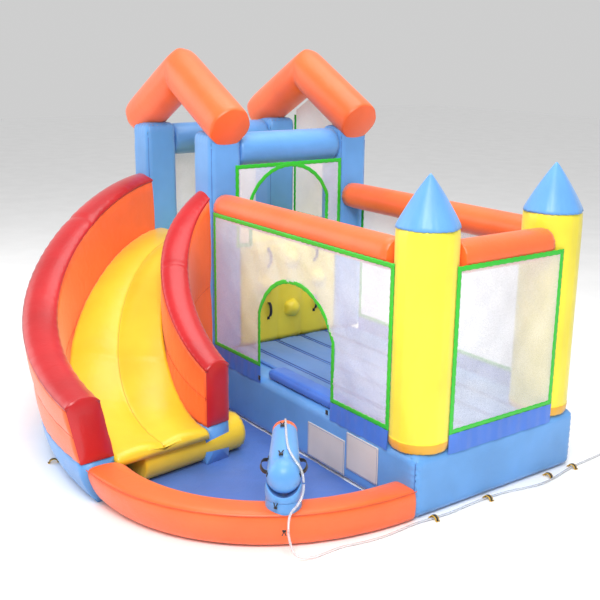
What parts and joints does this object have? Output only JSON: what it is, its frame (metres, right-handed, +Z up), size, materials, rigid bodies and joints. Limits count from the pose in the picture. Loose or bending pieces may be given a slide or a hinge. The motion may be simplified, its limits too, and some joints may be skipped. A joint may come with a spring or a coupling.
{
  "type": "inflatable bounce house",
  "caption": "Inflatable bounce house with netted jump area, climbing wall, tower, curved slide, splash pool and a swivelling water cannon on a hose.",
  "frame": {"origin": "middle of the footprint, on the ground", "axes": "+X from the tower towards the open end of the jump area, +Y from the pool towards the back, +Z up"},
  "size_m": [3.9982, 3.8073, 2.7147],
  "materials": {
    "air_inlet_sleeve": "thin nylon",
    "anchor_loops": "woven webbing",
    "back_corner_column": "vinyl-coated nylon",
    "back_gable": "vinyl-coated nylon",
    "back_left_post": "vinyl-coated nylon",
    "back_net": "open knitted safety mesh",
    "back_rail": "vinyl-coated nylon",
    "back_right_post": "vinyl-coated nylon",
    "barrel_ties": "woven webbing",
    "barrel_tube": "clear soft PVC",
    "base_patches": "smooth sewn patch",
    "base_skirts": "thin nylon",
    "bounce_floor": "vinyl-coated nylon, quilted",
    "cannon_barrel": "vinyl-coated nylon",
    "cannon_handles": "woven webbing",
    "cannon_muzzle": "vinyl-coated nylon",
    "cannon_neck": "vinyl-coated nylon",
    "cannon_stand": "vinyl-coated nylon",
    "climbing_handles": "woven webbing",
    "climbing_holds": "vinyl-coated nylon",
    "climbing_wall": "vinyl-coated nylon",
    "column_cones": "vinyl-coated nylon",
    "entrance_sill": "vinyl-coated nylon",
    "front_corner_column": "vinyl-coated nylon",
    "front_gable": "vinyl-coated nylon",
    "front_left_post": "vinyl-coated nylon",
    "front_net": "open knitted safety mesh",
    "front_rail": "vinyl-coated nylon",
    "front_right_post": "vinyl-coated nylon",
    "hose": "clear soft PVC",
    "hose_coil": "clear soft PVC",
    "hose_connector": "moulded",
    "inner_wall_cap": "vinyl-coated nylon",
    "jump_base": "vinyl-coated nylon",
    "left_header": "vinyl-coated nylon",
    "net_bindings": "satin binding tape",
    "outer_wall_cap": "vinyl-coated nylon",
    "pool_floor": "vinyl-coated nylon",
    "pool_ring": "vinyl-coated nylon",
    "right_header": "vinyl-coated nylon",
    "side_net": "open knitted safety mesh",
    "side_rail": "vinyl-coated nylon",
    "slide_bed": "smooth vinyl-coated nylon",
    "slide_end_roll": "smooth vinyl-coated nylon",
    "slide_inner_foot": "vinyl-coated nylon",
    "slide_inner_wall": "vinyl-coated nylon",
    "slide_outer_foot": "vinyl-coated nylon",
    "slide_outer_wall": "vinyl-coated nylon",
    "stand_ties": "woven webbing",
    "stand_tube": "clear soft PVC",
    "tap_nut": "turned",
    "tower_back_net": "open knitted safety mesh",
    "tower_base": "vinyl-coated nylon",
    "tower_door_net": "open knitted safety mesh",
    "tower_left_net": "open knitted safety mesh",
    "tower_panels": "vinyl-coated nylon",
    "tower_platform": "vinyl-coated nylon",
    "zip_slider": "painted die-cast",
    "zip_tape": "woven zip tape"
  },
  "bodies": {
    "house": {"air_inlet_sleeve": "air_inlet_sleeve", "anchor_loops": "anchor_loops", "back_corner_column": "back_corner_column", "back_gable": "back_gable", "back_left_post": "back_left_post", "back_net": "back_net", "back_rail": "back_rail", "back_right_post": "back_right_post", "base_patches": "base_patches", "base_skirts": "base_skirts", "bounce_floor": "bounce_floor", "cannon_stand": "cannon_stand", "climbing_handles": "climbing_handles", "climbing_holds": "climbing_holds", "climbing_wall": "climbing_wall", "column_cones": "column_cones", "entrance_sill": "entrance_sill", "front_corner_column": "front_corner_column", "front_gable": "front_gable", "front_left_post": "front_left_post", "front_net": "front_net", "front_rail": "front_rail", "front_right_post": "front_right_post", "hose": "hose", "hose_coil": "hose_coil", "hose_connector": "hose_connector", "inner_wall_cap": "inner_wall_cap", "jump_base": "jump_base", "left_header": "left_header", "net_bindings": "net_bindings", "outer_wall_cap": "outer_wall_cap", "pool_floor": "pool_floor", "pool_ring": "pool_ring", "right_header": "right_header", "side_net": "side_net", "side_rail": "side_rail", "slide_bed": "slide_bed", "slide_end_roll": "slide_end_roll", "slide_inner_foot": "slide_inner_foot", "slide_inner_wall": "slide_inner_wall", "slide_outer_foot": "slide_outer_foot", "slide_outer_wall": "slide_outer_wall", "stand_ties": "stand_ties", "stand_tube": "stand_tube", "tower_back_net": "tower_back_net", "tower_base": "tower_base", "tower_door_net": "tower_door_net", "tower_left_net": "tower_left_net", "tower_panels": "tower_panels", "tower_platform": "tower_platform", "zip_tape": "zip_tape"},
    "cannon_neck": {"cannon_neck": "cannon_neck"},
    "cannon_barrel": {"cannon_barrel": "cannon_barrel", "cannon_muzzle": "cannon_muzzle", "cannon_handles": "cannon_handles", "barrel_tube": "barrel_tube", "barrel_ties": "barrel_ties"},
    "zip_slider": {"zip_slider": "zip_slider"},
    "tap_nut": {"tap_nut": "tap_nut"}
  },
  "joints": [
    {"name": "cannon_pan", "type": "hinge", "parent": "house", "child": "cannon_neck", "pos_m": [1.58648, -0.80067, 0.402], "axis": [0, 0, 1], "range_deg": [-22, 22], "stiffness_Nm_per_rad": 4},
    {"name": "cannon_tilt", "type": "hinge", "parent": "cannon_neck", "child": "cannon_barrel", "pos_m": [1.58648, -0.80067, 0.402], "axis": [0.5807, 0.8141, 0], "range_deg": [-8, 12], "stiffness_Nm_per_rad": 12},
    {"name": "zip_slide", "type": "slide", "parent": "house", "child": "zip_slider", "axis": [1, 0, 0], "range_m": [0, 0.27]},
    {"name": "tap_nut_spin", "type": "hinge", "parent": "house", "child": "tap_nut", "pos_m": [2.04461, 2.0748, 0.0175], "axis": [0, 1, 0], "continuous": true}
  ]
}
